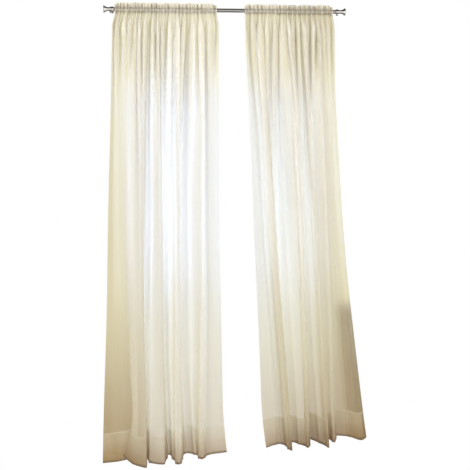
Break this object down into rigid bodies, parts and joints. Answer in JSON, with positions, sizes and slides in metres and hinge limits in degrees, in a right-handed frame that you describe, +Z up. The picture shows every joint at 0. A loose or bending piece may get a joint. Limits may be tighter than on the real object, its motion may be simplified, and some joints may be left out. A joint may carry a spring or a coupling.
{
  "type": "sheer voile curtain panels on a curtain rod",
  "caption": "Sheer ivory voile curtain panels, gathered by rod pockets on a slim brushed-metal rod with trumpet finials and wall brackets; ruffled heading above, deep plain hem below.",
  "frame": {"origin": "on the wall's face, midway between the two brackets, at the height of the rod's axis", "axes": "+Z up, +Y into the wall, +X along the rod to the right as seen from the room"},
  "size_m": [1.3448, 0.1682, 2.136],
  "materials": {
    "voile": "sheer ivory polyester voile, plain weave, soft and matt",
    "nickel": "brushed nickel, satin",
    "dark_nickel": "the same, darker and duller"
  },
  "bodies": {
    "root": {"panel_left": "voile", "panel_right": "voile", "rod": "nickel", "finial_left": "nickel", "finial_right": "nickel", "bracket_left": "nickel", "bracket_right": "nickel", "set_screw_left": "dark_nickel", "set_screw_right": "dark_nickel"}
  },
  "joints": []
}
